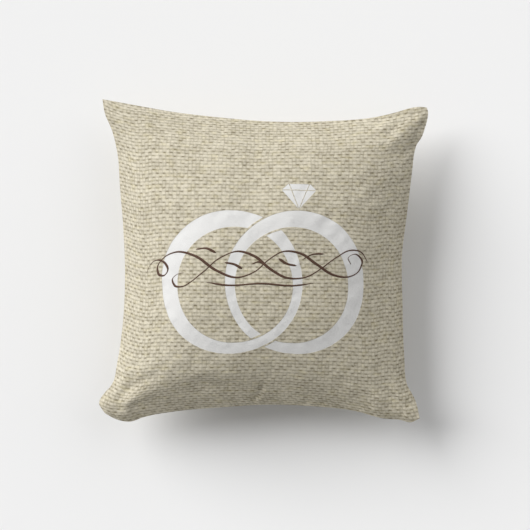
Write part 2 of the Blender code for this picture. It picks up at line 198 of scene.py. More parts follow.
def dome(count, share=1.0):
    """The height of a stuffed panel's grid, from 0 along its seam to 1 in the middle."""
    x = np.abs(np.linspace(-share, share, count))
    one = np.maximum(1 - x**DOME_TOP, 1e-12) ** DOME_SIDE
    f, g = np.meshgrid(one, one)
    least = np.sqrt(2 / (f**-2 + g**-2))
    return np.where(np.minimum(f, g) < 1e-5, 0, np.sqrt(f * g * least))


def smooth(x, low, high):
    x = np.clip((x - low) / (high - low), 0, 1)
    return x * x * (3 - 2 * x)


def slot_rise(x, y, opens=SLOT_OPEN, shuts=SLOT_SHUT):
    """How far a panel's edge is lifted off the seam's plane, by the zip."""
    near = 1 - smooth(np.abs(x), opens, shuts)
    return np.where(y < ZIP_SIDE, near * (SLOT_RISE - SEAM_GAP), 0) + SEAM_GAP


def square(count, half=1.0):
    """A square grid's own coordinates, s along its rows and t along its columns."""
    return np.meshgrid(*[np.linspace(-half, half, count)] * 2)


def numbered(count, start=0):
    """The numbers of a grid's points."""
    return np.arange(start, start + count * count).reshape(count, count)


ANTICLOCKWISE = ((0, 0), (0, 1), (1, 1), (1, 0))  # a cell's corners as (row, column)
CLOCKWISE = ((0, 0), (1, 0), (1, 1), (0, 1))


def quads(index, way=ANTICLOCKWISE):
    """The corners of each cell of a grid of point numbers, this way round seen from above."""
    rows, columns = index.shape
    corners = [index[j : rows - 1 + j, i : columns - 1 + i] for j, i in way]
    return np.stack(corners, -1).reshape(-1, 4)


def simulate():
    """The two panels' grids, as (rows, columns, 3) arrays: front, then back."""
    plan, high = plan_grid(COUNT), dome(COUNT)
    flat = np.stack(square(COUNT, REST_HALF), -1)
    border = np.zeros((COUNT, COUNT), bool)
    border[[0, -1], :] = border[:, [0, -1]] = True
    lift = np.full((COUNT, COUNT), SEAM_GAP)
    lift[0] = slot_rise(plan[0, :, 0], plan[0, :, 1])
    points, rest, faces = [], [], []
    for number, side in enumerate((UP, DOWN)):
        z = SEAM + side * (lift + high * CROWN)
        z += np.where(border, 0, RANDOM.normal(0, JITTER, (COUNT, COUNT)))
        points.append(np.dstack([plan, z]))
        rest.append(np.dstack([flat, np.full((COUNT, COUNT), side * REST_APART)]))
        corners = quads(numbered(COUNT, number * COUNT * COUNT))
        faces += (corners if side == UP else corners[:, ::-1]).tolist()
    mesh = bpy.data.meshes.new("cloth")
    mesh.from_pydata(np.array(points).reshape(-1, 3).tolist(), [], faces)
    cloth = bpy.data.objects.new("cloth", mesh)
    bpy.context.scene.collection.objects.link(cloth)
    cloth.shape_key_add(name="start")
    key = cloth.shape_key_add(name="rest")
    key.data.foreach_set("co", np.array(rest, np.float32).ravel())
    key.value = 0
    pins = cloth.vertex_groups.new(name="pins")
    pins.add(np.flatnonzero(np.tile(border.ravel(), 2)).tolist(), 1.0, "REPLACE")
    modifier = cloth.modifiers.new("cloth", "CLOTH")
    settings = modifier.settings
    for name, value in CLOTH.items():
        setattr(settings, name, value)
    settings.vertex_group_mass = "pins"
    settings.rest_shape_key = key
    settings.effector_weights.gravity = 0
    modifier.collision_settings.use_collision = False
    modifier.collision_settings.use_self_collision = False
    modifier.point_cache.frame_end = SIM_FRAMES + 1
    frames = SIM_FRAMES
    for number in range(1, frames + 1):
        bpy.context.scene.frame_set(number)
    made = cloth.evaluated_get(bpy.context.evaluated_depsgraph_get()).to_mesh()
    where = np.zeros(len(made.vertices) * 3)
    made.vertices.foreach_get("co", where)
    bpy.data.objects.remove(cloth)
    bpy.context.scene.frame_set(1)
    return where.reshape(2, COUNT, COUNT, 3)


def between(grid, axis):
    """The grid with a row added between each two, on a smooth curve through them."""
    g = np.moveaxis(grid, axis, 0)
    padded = np.concatenate([2 * g[:1] - g[1:2], g, 2 * g[-1:] - g[-2:-1]])
    new = (9 * (padded[1:-2] + padded[2:-1]) - padded[:-3] - padded[3:]) / 16
    out = np.empty((2 * len(g) - 1, *g.shape[1:]))
    out[::2], out[1::2] = g, new
    return np.moveaxis(out, 0, axis)


def normals(grid):
    """Outward normals of a front panel's grid."""
    along = np.gradient(grid, axis=1)
    up = np.gradient(grid, axis=0)
    n = np.cross(along, up)
    return n / np.maximum(np.linalg.norm(n, axis=-1, keepdims=True), 1e-12)


def waves(x, y, size, seed, count=14):
    """A smooth random height over the plane, about -1 to 1, with waves of about this size."""
    random = np.random.default_rng(seed)
    total = np.zeros_like(x)
    for _ in range(count):
        turn = random.uniform(0, 2 * math.pi)
        rate = 2 * math.pi / (size * random.uniform(0.7, 1.5))
        phase = random.uniform(0, 2 * math.pi)
        total += np.sin(rate * (x * math.cos(turn) + y * math.sin(turn)) + phase)
    return total / math.sqrt(count)


RIDGE = 0.45  # of a crease's depth: the height of the ridge beside it
RIDGE_OFF, RIDGE_WIDTH = 1.7, 1.2  # where that ridge lies and how wide it is, in crease widths


def fold(x, y, start, end, width, depth, bend=0.0):
    """A crease in the cloth from start to end, bowed sideways by bend, fading at both ends."""
    a, b = np.array(start) * MM, np.array(end) * MM
    along = b - a
    length = np.linalg.norm(along)
    along /= length
    across = np.array([-along[1], along[0]])
    t = ((x - a[0]) * along[0] + (y - a[1]) * along[1]) / length
    off = (x - a[0]) * across[0] + (y - a[1]) * across[1] - bend * MM * 4 * t * (1 - t)
    fade = smooth(t, -0.1, 0.25) * (1 - smooth(t, 0.6, 1.1))
    groove = np.exp(-((off / (width * MM)) ** 2))
    beside = (off - RIDGE_OFF * width * MM) / (RIDGE_WIDTH * width * MM)
    return depth * MM * (RIDGE * np.exp(-(beside**2)) - groove) * fade


# The front's creases: start, end, width, depth and bow, in millimetres
FRONT_FOLDS = [
    ((-1, -143), (-22, -174), 3.5, 2.4, 2),
    ((-88, -142), (-14, -152), 8, 2.6, 4),
    ((-182, -168), (-118, -128), 6, 2.2, 5),
    ((-184, -176), (-120, -156), 4.5, 1.6, -4),
    ((-176, -172), (-148, -112), 5, 1.8, -5),
    ((184, -176), (130, -140), 5.5, 1.8, 4),
    ((178, -184), (128, -166), 4, 1.2, -3),
    ((188, 182), (140, 142), 6, 2.2, -5),
    ((175, 188), (180, 158), 3.0, 1.3, 1),
    ((190, 170), (158, 118), 4.5, 1.6, 4),
    ((176, 184), (112, 160), 4, 1.2, 3),
    ((-188, 188), (-132, 142), 5, 1.4, 4),
    ((-54, 171), (-50, 142), 4, 1.1, 2),
    ((-168, -73), (-140, -66), 4, 1.0, 2),
]
BACK_FOLDS = [
    ((-182, -170), (-116, -132), 6, 2.0, -5),
    ((182, -178), (126, -138), 6, 2.0, 4),
    ((186, 180), (136, 136), 6, 2.2, 5),
    ((-186, 186), (-128, 140), 6, 1.8, -4),
    ((30, 170), (22, 138), 5, 1.2, 2),
]
# Height, size and seed of the cloth's unevenness, in millimetres
LUMPS = ((0.8, 75, 3), (0.22, 24, 23))
PUCKERS = (0.5, 13, 43)
PUCKER_REACH = 9 * MM  # from the seam
FLOOR_PRESS = 2.5 * MM  # how softly the back is flattened by the floor


def rounded(grid, side, inside):
    """The panel with its blown-up form brought to that of a cushion stuffed with fibre."""
    lift = slot_rise(grid[:1, :, 0], grid[:1, :, 1]) * (1 - smooth(inside, 0, LIP_REACH))
    lift = np.where(np.arange(len(grid))[:, None] < len(grid) // 2, lift, SEAM_GAP)
    height = np.maximum(side * (grid[..., 2] - SEAM) - lift, 0)
    s, t = (x + lean * (1 - x * x) for x, lean in zip(square(len(grid)), LEAN))
    height = at_places(height[..., None], s, t)[..., 0] / height.max()
    made = grid.copy()
    form = KEPT * height + (1 - KEPT) * height**ROUNDED
    made[..., 2] = SEAM + side * (lift + STUFFED * form)
    return made


def unrolled(grid):
    """Where each place of a panel lies in its flat cloth, by the distances along the grid."""
    flat = np.empty((*grid.shape[:2], 2))
    middle = len(grid) // 2
    for axis, k in ((1, 0), (0, 1)):
        steps = np.linalg.norm(np.diff(grid, axis=axis), axis=-1)
        far = np.insert(np.cumsum(steps, axis=axis), 0, 0, axis=axis)
        flat[..., k] = far - np.take(far, [middle], axis=axis)
    return flat


def finish_panel(grid, side, folds):
    """The simulated panel made finer, with the lumps, creases and puckers of real cloth.

    It gives the finished grid and where each of its places lies in the flat cloth.
    """
    grid = between(between(grid, 0), 1)
    s, t = np.abs(square(len(grid)))
    inside = (1 - np.maximum(s, t)) * SIDE_HALF
    grid = rounded(grid, side, inside)
    flat = unrolled(grid)
    x, y = grid[..., 0].copy(), grid[..., 1].copy()
    n = normals(grid) * side
    body = smooth(inside, 0, 30 * MM)
    bump = np.zeros_like(x)
    for height, size, seed in LUMPS:
        bump += height * MM * waves(x, y, size * MM, seed + side) * body
    for crease in folds:
        bump += fold(x, y, *crease) * smooth(inside, 0, 7 * MM)
    height, size, seed = PUCKERS
    near_seam = np.exp(-inside / PUCKER_REACH) * smooth(inside, 0, 2.5 * MM)
    bump += height * MM * waves(x, y, size * MM, seed) * near_seam
    grid = grid + n * bump[..., None]
    if side == DOWN:
        # Pressed flat where it lies on the floor
        grid[..., 2] = FLOOR_PRESS * np.logaddexp(0, grid[..., 2] / FLOOR_PRESS)
        grid[..., 2] -= grid[..., 2].min()
    return grid, flat


def at_places(grid, s, t):
    """The grid's values at these places, s and t from -1 to 1."""
    last = len(grid) - 1
    u, v = ((np.clip(a, -1, 1) + 1) / 2 * last for a in (s, t))
    i, j = (np.minimum(a.astype(int), last - 1) for a in (u, v))
    f, g = (u - i)[..., None], (v - j)[..., None]
    low = grid[j, i] * (1 - f) + grid[j, i + 1] * f
    high = grid[j + 1, i] * (1 - f) + grid[j + 1, i + 1] * f
    return low * (1 - g) + high * g


def ring_places(count):
    """The s and t of a grid's border points, once round, from -1 to 1."""
    ring = np.array(ring_of(count))
    return ring[:, 1] / (count - 1) * 2 - 1, ring[:, 0] / (count - 1) * 2 - 1


# ---------------------------------------------------------------- meshes

def new_object(name, points, faces, body="pillow"):
    mesh = bpy.data.meshes.new(name)
    mesh.from_pydata([tuple(p) for p in points], [], faces)
    mesh.validate()
    mesh.shade_smooth()
    made = bpy.data.objects.new(name, mesh)
    bpy.context.scene.collection.objects.link(made)
    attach(made, body)
    return made


def ring_of(count):
    """The (row, column) of each border point of a grid, once round."""
    last = count - 1
    return (
        [(0, i) for i in range(last)]
        + [(j, last) for j in range(last)]
        + [(last, last - i) for i in range(last)]
        + [(last - j, 0) for j in range(last)]
    )


EDGE_ROUND = 0.6 * MM  # how far in the cloth has turned round the seam
LAYER_GAP = 1.6  # how far in the inside layer begins, in thicknesses of the cloth
FLAP_SHARE = 0.35  # of the room over a turned-in edge, the most that its cloth takes
FLAP_PRINT = (1.004, 0.012)  # how much further out the print lies on its rings: first, step
BAKE_WIDTH = 2.25 * FLAT_HALF  # of flat cloth across the map for baking
BAKE_INSIDE = (0.05, 0.001)  # the inside's size and place in that map's corner


def panel(name, grid, flat, side, cloth, allowance, rise):
    """A panel's closed shell: outside, turned-in edge and inside, with its flat pattern as UVs.

    rise(x, y, inset) is the turned-in edge's height off the seam's plane.
    """
    count = len(grid)
    ring = ring_of(count)
    s, t = ring_places(count)
    n = normals(grid) * side
    # Thinner towards the seam, so that the layers never come through each other
    low = rise(grid[..., 0], grid[..., 1], 0) - FLAP_DROP
    thin = np.clip(0.5 * (side * (grid[..., 2] - SEAM) - low), 0, cloth)
    inner_grid = grid - n * thin[..., None]
    points = list(grid.reshape(-1, 3))
    pattern = list(flat.reshape(-1, 2))
    index = numbered(count)
    faces = quads(index).tolist()
    marks = [0] * len(faces)  # 0 outside, 1 turned-in edge, 2 inside, as the material slots
    loop = [index[j, i] for j, i in ring]
    edge = np.array([grid[j, i] for j, i in ring])
    edge_flat = np.array([flat[j, i] for j, i in ring])
    # Each ring of the turned-in edge: how far in it is, and whether it is on the inside layer
    steps = [(EDGE_ROUND, False), (allowance / 2, False), (allowance, False)]
    steps += [(allowance, True), (LAYER_GAP * cloth, True)]
    for number, (inset, over) in enumerate(steps):
        following = list(range(len(points), len(points) + len(ring)))
        share = 1 - inset / SIDE_HALF
        up = np.full(len(ring), rise(edge[:, 0], edge[:, 1], inset) - FLAP_DROP)
        if over:
            room = side * (at_places(grid, s * share, t * share)[..., 2] - SEAM) - up
            up += np.clip(FLAP_SHARE * room, LEAST_CLOTH, cloth)
        places = np.column_stack([edge[:, :2] * share, SEAM + side * up])
        points += list(places)
        pattern += list(edge_flat * (FLAP_PRINT[0] + FLAP_PRINT[1] * number))
        for k in range(len(ring)):
            m = (k + 1) % len(ring)
            faces.append([loop[m], loop[k], following[k], following[m]])
            marks.append(1)
        loop = following
    inside = np.full((count, count), -1)
    for (j, i), k in zip(ring, loop):
        inside[j, i] = k
    inside[1:-1, 1:-1] = numbered(count - 2, len(points))
    points += list(inner_grid[1:-1, 1:-1].reshape(-1, 3))
    pattern += list(flat[1:-1, 1:-1].reshape(-1, 2))
    faces += quads(inside, CLOCKWISE).tolist()
    marks += [2] * (count - 1) ** 2
    if side == DOWN:
        faces = [f[::-1] for f in faces]
    made = new_object(name, points, faces)
    mesh = made.data
    mesh.polygons.foreach_set("material_index", np.array(marks, np.int32))
    ends = np.zeros(2 * len(mesh.edges), np.int32)
    mesh.edges.foreach_get("vertices", ends)
    folded = np.isin(ends.reshape(-1, 2), [index[j, i] for j, i in ring]).all(axis=1)
    mesh.attributes.new("sharp_edge", "BOOLEAN", "EDGE").data.foreach_set("value", folded)
    lay_pattern(mesh, np.array(pattern), np.array(marks))
    return made


def lay_pattern(mesh, pattern, marks):
    """Gives a panel its flat pattern in metres, and a map for baking, the inside set apart."""
    corner_vertex = np.zeros(len(mesh.loops), np.int32)
    mesh.loops.foreach_get("vertex_index", corner_vertex)
    is_inside = marks[np.repeat(np.arange(len(mesh.polygons)), 4)] == 2
    flat = pattern[corner_vertex]
    bake = flat / BAKE_WIDTH + 0.5
    bake[is_inside] = bake[is_inside] * BAKE_INSIDE[0] + BAKE_INSIDE[1]
    for name, places in (("flat", flat), ("OFBake", bake)):
        layer = mesh.uv_layers.new(name=name)
        layer.data.foreach_set("uv", places.astype(np.float32).ravel())


# ---------------------------------------------------------------- materials

class Shade:
    """A material's nodes, added by short calls. Any input can be a socket or a number."""

    def __init__(self, name):
        self.material = bpy.data.materials.new(name)
        self.material.use_nodes = True
        self.tree = self.material.node_tree
        self.shader = self.tree.nodes["Principled BSDF"]

    def put(self, socket, value):
        if isinstance(value, bpy.types.NodeSocket):
            self.tree.links.new(value, socket)
        else:
            socket.default_value = value

    def add(self, kind, *inputs, **settings):
        node = self.tree.nodes.new("ShaderNode" + kind)
        for key, value in settings.items():
            setattr(node, key, value)
        for socket, value in zip(node.inputs, inputs):
            if value is not None:
                self.put(socket, value)
        return node

    def math(self, operation, *inputs, clamp=False):
        return self.add("Math", *inputs, operation=operation, use_clamp=clamp).outputs[0]

    def mix(self, share, a, b):
        node = self.add("Mix", data_type="RGBA")
        self.put(node.inputs["Factor"], share)
        for key, value in (("A", a), ("B", b)):
            socket = next(s for s in node.inputs if s.name == key and s.type == "RGBA")
            self.put(socket, (*value, 1) if isinstance(value, tuple) else value)
        return next(s for s in node.outputs if s.type == "RGBA")

    def vector(self, x, y, z=0.0):
        return self.add("CombineXYZ", x, y, z).outputs[0]

    def noise(self, vector, scale, detail=2.0, roughness=0.5):
        node = self.add("TexNoise")
        self.put(node.inputs["Vector"], vector)
        for key, value in (("Scale", scale), ("Detail", detail), ("Roughness", roughness)):
            node.inputs[key].default_value = value
        return node.outputs["Fac"]

    def white(self, w):
        node = self.add("TexWhiteNoise", noise_dimensions="1D")
        self.put(node.inputs["W"], w)
        return node.outputs["Value"]

    def chance(self, x, y, z=0.0):
        """A random number of its own for each whole x and y."""
        node = self.add("TexWhiteNoise", noise_dimensions="3D")
        self.put(node.inputs["Vector"], self.vector(x, y, z))
        return node.outputs["Value"]

    def ramp(self, value, low, high):
        """0 to 1 as value goes from low to high, clamped."""
        return self.add("MapRange", value, low, high, 0.0, 1.0).outputs[0]

    def times(self, a, b):
        return self.math("MULTIPLY", a, b)

    def minus(self, a, b):
        return self.math("SUBTRACT", a, b)

    def linear(self, value, slope, start, clamp=False):
        """value times slope, plus start."""
        return self.math("MULTIPLY_ADD", value, slope, start, clamp=clamp)

    def sway(self, value, share, onto, clamp=False):
        """onto, plus this share of how far value is from a half."""
        return self.linear(self.minus(value, 0.5), share, onto, clamp=clamp)

    def rest(self, share, clamp=False):
        """What the share leaves of 1."""
        return self.math("SUBTRACT", 1.0, share, clamp=clamp)

    def either(self, share, a, b):
        """a where the share is 1, and b where it is 0."""
        return self.math("ADD", self.times(share, a), self.times(self.rest(share), b))

    def bump(self, height, distance, strength=1.0):
        node = self.add("Bump")
        node.inputs["Distance"].default_value = distance
        node.inputs["Strength"].default_value = strength
        self.put(node.inputs["Height"], height)
        self.put(self.shader.inputs["Normal"], node.outputs[0])

    def set(self, **values):
        for key, value in values.items():
            self.put(self.shader.inputs[key.replace("_", " ")], value)
        return self.material


WARP_PITCH, WEFT_PITCH = 4.5 * MM, 4.42 * MM  # of the printed weave
BURLAP_DARK, BURLAP_LIGHT = (0.20, 0.17, 0.108), (0.635, 0.587, 0.47)
STRAW_DARK, STRAW_LIGHT = (0.21, 0.175, 0.085), (0.63, 0.567, 0.375)
WHITE_DARK, WHITE_LIGHT = (0.67, 0.665, 0.65), (0.7, 0.695, 0.685)
DASH_HALF, NOTCH_HALF = 0.3, 0.32  # of the dark gaps between threads, in threads
DASH_VARIES, DASH_SWELLS = 0.14, 0.25  # from row to row, and along a row
FIBRE_SCALE, FIBRE_ROUGHNESS = 900, 0.65
RING_CENTRES = ((-38 * MM, -22 * MM), (40 * MM, -22 * MM))
RING_OUTSIDE = 84 * MM
RING_INSIDE = 67.5 * MM
RING_SHIFT = (5 * MM, -3 * MM)  # from a ring's outer centre to its inner one
RING_GAP = 2.2 * MM  # left free beside the ring that passes over
PRINT_RELIEF = 0.9  # how strongly the printed threads stand out
GROUND_RELIEF = 0.08  # the same for the cloth's own threads
GROUND_PITCH = 0.45 * MM  # of the cloth's own threads
PRINT_EDGE = 0.35 * MM  # the softness of a printed edge
STONE_LIFT = 1.5 * MM  # from the ring to the stone's point
STONE_CROWN, STONE_TABLE, STONE_GIRDLE = 44 * MM, 31 * MM, 23.5 * MM
STONE_SLOPE, STAR_SLOPE = 1.15, 2.6  # of the stone's lower edges and of its inner facets
STONE_LINE = (0.3 * MM, 0.7 * MM)  # where a line between facets ends, to each side


def flat_place(m):
    node = m.add("UVMap", uv_map="flat")
    parts = m.add("SeparateXYZ", node.outputs[0])
    return parts.outputs[0], parts.outputs[1]


def weave(m, u, v):
    """The print's picture of a plain weave: how light it is, and a tint along its threads.

    A number added to a row or column only gives it random numbers of its own.
    """

    def threads(way, pitch, place, scale, wide):
        """The count of threads on the way, wandering by this many threads."""
        wobble = m.linear(m.noise(place, scale, 2), wide, -wide / 2)
        return m.math("ADD", m.math("DIVIDE", way, pitch), wobble)

    across = threads(u, WARP_PITCH, m.vector(u, v), 60, 0.8)
    along = threads(v, WEFT_PITCH, m.vector(v, u, 0.3), 42, 0.44)

    def cell(value):
        """The thread that a place is in, and how far off its middle line."""
        return m.math("FLOOR", value), m.minus(m.math("FRACT", value), 0.5)

    column, off_warp = cell(across)
    row, off_weft = cell(along)
    gap, off_gap = cell(m.math("ADD", along, 0.5))
    notch, off_notch = cell(m.math("ADD", across, 0.5))

    def over(line):
        """1 where the weft lies over the warp at this row or gap, 0 where it lies under."""
        odd = m.math("FLOORED_MODULO", m.math("ADD", line, column), 2.0)
        swing = m.math("COSINE", m.times(off_warp, math.pi))
        return m.linear(m.times(m.linear(odd, 2.0, -1.0), swing), 0.5, 0.5)

    def closeness(off, half):
        """1 on the middle line, falling to 0 this far off it."""
        return m.rest(m.math("DIVIDE", m.math("ABSOLUTE", off), half), clamp=True)

    top = over(row)
    # The dark dashes between the rows, darkest where the warp dives under the weft
    dash_half = m.linear(m.white(m.math("ADD", gap, 5.3)), DASH_VARIES, DASH_HALF)
    stretch = m.noise(m.vector(u, m.times(gap, 0.03)), 130, 1)
    dash_half = m.sway(stretch, DASH_SWELLS, dash_half)
    dark = closeness(off_gap, dash_half)
    dark = m.times(dark, m.linear(m.ramp(over(gap), 0.5, 0.97), 0.78, 0.22))
    dark = m.times(dark, m.linear(m.chance(column, gap, 3.7), 0.7, 0.65))
    # The fainter notches between the columns
    groove = closeness(off_notch, NOTCH_HALF)
    groove = m.times(groove, m.linear(m.chance(notch, row, 8.2), 0.75, 0.1, clamp=True))
    crown = m.times(m.times(off_weft, off_weft), -0.7)
    # Fibres, drawn out along whichever thread is on top
    look = (FIBRE_SCALE, 2, FIBRE_ROUGHNESS)
    along_weft = m.noise(m.vector(m.times(u, 0.3), v), *look)
    along_warp = m.noise(m.vector(u, m.times(v, 0.35)), *look)
    fibre = m.either(top, along_weft, along_warp)
    row_tone, column_tone = m.math("ADD", row, 11.7), m.math("ADD", column, 93.1)
    tone = m.either(top, m.white(row_tone), m.white(column_tone))
    speck = m.chance(column, row, 1.3)
    slub = m.noise(m.vector(m.times(u, 0.2), m.times(row, 0.011)), 380, 1)
    light = m.math("ADD", 0.9, crown)
    for part, share in ((dark, -0.6), (groove, -0.42)):
        light = m.linear(part, share, light)
    for part, share in ((top, 0.05), (tone, 0.16), (speck, 0.24), (fibre, 0.85), (slub, 0.34)):
        light = m.sway(part, share, light)
    return light, slub


def rings_mask(m, u, v):
    """1 inside the two linked rings, each passing over the other once, and in the stone."""

    def disc(centre, radius):
        """How far outside a disc, negative inside it."""
        du, dv = m.minus(u, centre[0]), m.minus(v, centre[1])
        far = m.math("SQRT", m.math("ADD", m.times(du, du), m.times(dv, dv)))
        return m.minus(far, radius)

    def inked(far):
        """1 inside a printed edge, 0 outside."""
        return m.ramp(far, PRINT_EDGE / 2, -PRINT_EDGE / 2)

    def band(centre, way, grown):
        inner = (centre[0] + way * RING_SHIFT[0], centre[1] + RING_SHIFT[1])
        outside = disc(centre, RING_OUTSIDE + grown)
        inside = m.times(disc(inner, RING_INSIDE - grown), -1.0)
        return inked(m.math("MAXIMUM", outside, inside))

    left, right = RING_CENTRES
    a, b = band(left, 1, 0), band(right, -1, 0)
    a_room, b_room = band(left, 1, RING_GAP), band(right, -1, RING_GAP)
    b_over = m.math("MAXIMUM", b, m.times(a, m.rest(b_room)))
    a_over = m.math("MAXIMUM", a, m.times(b, m.rest(a_room)))
    rings = m.either(m.math("GREATER_THAN", v, left[1]), b_over, a_over)
    # The stone on the right-hand ring, with lines between its facets
    across = m.math("ABSOLUTE", m.minus(u, right[0]))
    up = m.minus(v, right[1] + RING_OUTSIDE + STONE_LIFT)
    crown = m.minus(m.linear(across, 1.0, up), STONE_CROWN)
    stone = m.math("MAXIMUM", crown, m.minus(up, STONE_TABLE))
    stone = m.math("MAXIMUM", stone, m.minus(m.times(across, STONE_SLOPE), up))
    girdle = m.math("ABSOLUTE", m.minus(up, STONE_GIRDLE))
    star = m.math("ABSOLUTE", m.minus(m.times(across, STAR_SLOPE), up))
    lines = m.math("MINIMUM", girdle, m.times(star, 0.4))
    stone = m.times(inked(stone), m.ramp(lines, *STONE_LINE))
    return m.math("MAXIMUM", rings, stone)


def burlap_print(name, with_rings):
    m = Shade(name)
    u, v = flat_place(m)
    light, slub = weave(m, u, v)
    place = m.vector(u, v)
    light = m.sway(m.noise(place, 26, 2), 0.25, light, clamp=True)
    colour = m.mix(light, BURLAP_DARK, BURLAP_LIGHT)
    # Straw-coloured stretches of thread
    patches = m.noise(m.vector(m.times(u, 0.5), v, 0.7), 150, 2)
    straw = m.times(m.ramp(patches, 0.5, 0.72), 0.5)
    colour = m.mix(straw, colour, m.mix(light, STRAW_DARK, STRAW_LIGHT))
    if with_rings:
        grain = m.noise(place, 900, 2, 0.6)
        rings = rings_mask(m, u, v)
        colour = m.mix(rings, colour, m.mix(grain, WHITE_DARK, WHITE_LIGHT))
        light = m.times(light, m.rest(rings))
    # The cloth under the print has a fine weave of its own
    ripples = [m.math("SINE", m.times(way, 2 * math.pi / GROUND_PITCH)) for way in (u, v)]
    relief = m.linear(m.times(*ripples), GROUND_RELIEF, m.times(light, PRINT_RELIEF))
    m.bump(relief, 0.5 * MM)
    rough = m.linear(slub, 0.1, 0.82)
    return m.set(Base_Color=colour, Roughness=rough, Specular_IOR_Level=0.2)


CLOTH_CONTRAST = 0.12  # how much darker and lighter than its colour plain cloth gets: painted shade in the weave's hollows, lighter on its crowns, and random tone


def plain_cloth(name, colour, pitch, roughness=0.85):
    """Woven cloth of one colour, its threads this far apart, for pieces of any form."""
    m = Shade(name)
    place = m.add("TexCoord").outputs["Object"]
    ways = m.add("SeparateXYZ", place).outputs
    x, y, z = [m.math("SINE", m.times(way, 2 * math.pi / pitch)) for way in ways]
    height = m.math("ADD", m.times(x, y), m.times(z, 0.6))
    # Painted shade: the colour follows the bump's height, darker in the weave's hollows and
    # lighter on its crowns, over random tone
    tone = m.linear(height, 0.25, m.noise(place, 220, 3))
    dark = tuple(c * (1 - CLOTH_CONTRAST) for c in colour)
    light = tuple(min(1, c * (1 + CLOTH_CONTRAST)) for c in colour)
    m.bump(height, 0.12 * MM, 0.6)
    return m.set(
        Base_Color=m.mix(m.ramp(tone, 0.2, 0.8), dark, light),
        Roughness=m.linear(m.noise(place, 90, 1), 0.12, roughness - 0.06),
        Sheen_Weight=0.15,
    )


def plated_metal(name):
    m = Shade(name)
    place = m.add("TexCoord").outputs["Object"]
    wear = m.noise(place, 900, 4, 0.65)
    colour = m.mix(m.ramp(wear, 0.35, 0.75), (0.47, 0.45, 0.41), (0.66, 0.64, 0.6))
    m.bump(m.noise(place, 2600, 2), 0.02 * MM, 0.5)
    return m.set(Base_Color=colour, Metallic=1.0, Roughness=m.linear(wear, 0.25, 0.2))


def nylon(name, colour):
    m = Shade(name)
    place = m.add("TexCoord").outputs["Object"]
    tone = m.noise(place, 700, 3)
    colour = m.mix(tone, tuple(c * 0.85 for c in colour), colour)
    m.bump(m.noise(place, 3000, 2), 0.03 * MM, 0.4)
    return m.set(Base_Color=colour, Roughness=m.linear(tone, 0.15, 0.35), Coat_Weight=0.1)


def ink(name, colour):
    m = Shade(name)
    place = m.add("TexCoord").outputs["Object"]
    tone = m.noise(place, 600, 3, 0.6)
    colour = m.mix(tone, tuple(c * 0.8 for c in colour), tuple(c * 1.25 for c in colour))
    return m.set(Base_Color=colour, Roughness=m.linear(tone, 0.1, 0.8))


def wadding(name):
    m = Shade(name)
    place = m.add("TexCoord").outputs["Object"]
    tufts = m.noise(place, 60, 6, 0.7)
    m.bump(tufts, 4 * MM, 0.8)
    # Painted shade: the tufts that make the bump also set the colour, darker in their hollows
    # and lighter on their tops, with random tone
    colour = m.mix(m.ramp(tufts, 0.3, 0.7), (0.8, 0.8, 0.79), (0.94, 0.94, 0.93))
    return m.set(Base_Color=colour, Roughness=0.95, Sheen_Weight=0.3)


# ---------------------------------------------------------------- build

panels = simulate()
front, front_flat = finish_panel(panels[0], UP, FRONT_FOLDS)
back, back_flat = finish_panel(panels[1], DOWN, BACK_FOLDS)


def cover_rise(x, y, inset):
    """The cover's turned-in edges stay apart further along the zip than its lips do."""
    more = inset / ALLOWANCE
    return slot_rise(x, y, SLOT_OPEN + 12 * MM * more, SLOT_SHUT + 10 * MM * more)


cover_front = panel("cover_front", front, front_flat, UP, COVER_CLOTH, ALLOWANCE, cover_rise)
cover_back = panel("cover_back", back, back_flat, DOWN, COVER_CLOTH, ALLOWANCE, cover_rise)
printed = burlap_print("burlap_print_front", True)
plain_print = burlap_print("burlap_print_back", False)
reverse = plain_cloth("cloth_reverse", (0.84, 0.82, 0.77), 0.5 * MM)
for piece, paint, node in (
    (cover_front, printed, "cover_front_panel"),
    (cover_back, plain_print, "cover_back_panel"),
):
    piece.data.materials.append(paint)
    piece.data.materials.append(plain_print)
    piece.data.materials.append(reverse)
    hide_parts(node)

paints = {
    "zipper_tape": plain_cloth("zip_tape_cloth", (0.60, 0.54, 0.41), 0.9 * MM),
    "zipper_coil": nylon("zip_coil_nylon", (0.60, 0.55, 0.43)),
    "zipper_metal": plated_metal("zip_plating"),
    "thread": plain_cloth("sewing_thread", (0.60, 0.55, 0.42), 0.4 * MM, 0.7),
    "label_satin": plain_cloth("satin_ribbon", (0.86, 0.85, 0.82), 0.3 * MM, 0.45),
    "insert_lining": plain_cloth("lining_cloth", (0.86, 0.86, 0.84), 0.6 * MM),
    "insert_thread": plain_cloth("lining_thread", (0.84, 0.84, 0.82), 0.4 * MM, 0.7),
    "polyester_fibre": wadding("fibre_tufts"),
}
slots = {s["node"]: s["material_slot"] for s in frame["record"]["subparts"]}
for name, node in frame["nodes"].items():
    paint = paints.get(slots[name])
    if paint:
        for i in range(len(node.data.materials)):
            node.data.materials[i] = paint

INSERT_CLOTH = 0.5 * MM
INSERT_ALLOWANCE = 6 * MM
LOOSE = 0.5 * MM  # between the cover, the insert and the fibre
INSERT_SHARE = 1 - 14.5 * MM / SIDE_HALF  # the insert's size beside the cover's
FILL_SHARE = INSERT_SHARE - (INSERT_ALLOWANCE + 2 * LOOSE) / SIDE_HALF
THREAD = 0.5 * MM


def inner_layer(grid, side, share, under):
    """A stuffed layer inside the cover: its grid stays this far under the cover's outside."""
    made = at_places(grid, *square(COUNT, share))
    height = np.maximum(side * (made[..., 2] - SEAM) - under, 0)
    height *= dome(COUNT) / np.maximum(dome(COUNT, share), 1e-6)
    made[..., 2] = SEAM + side * (height + SEAM_GAP)
    return made


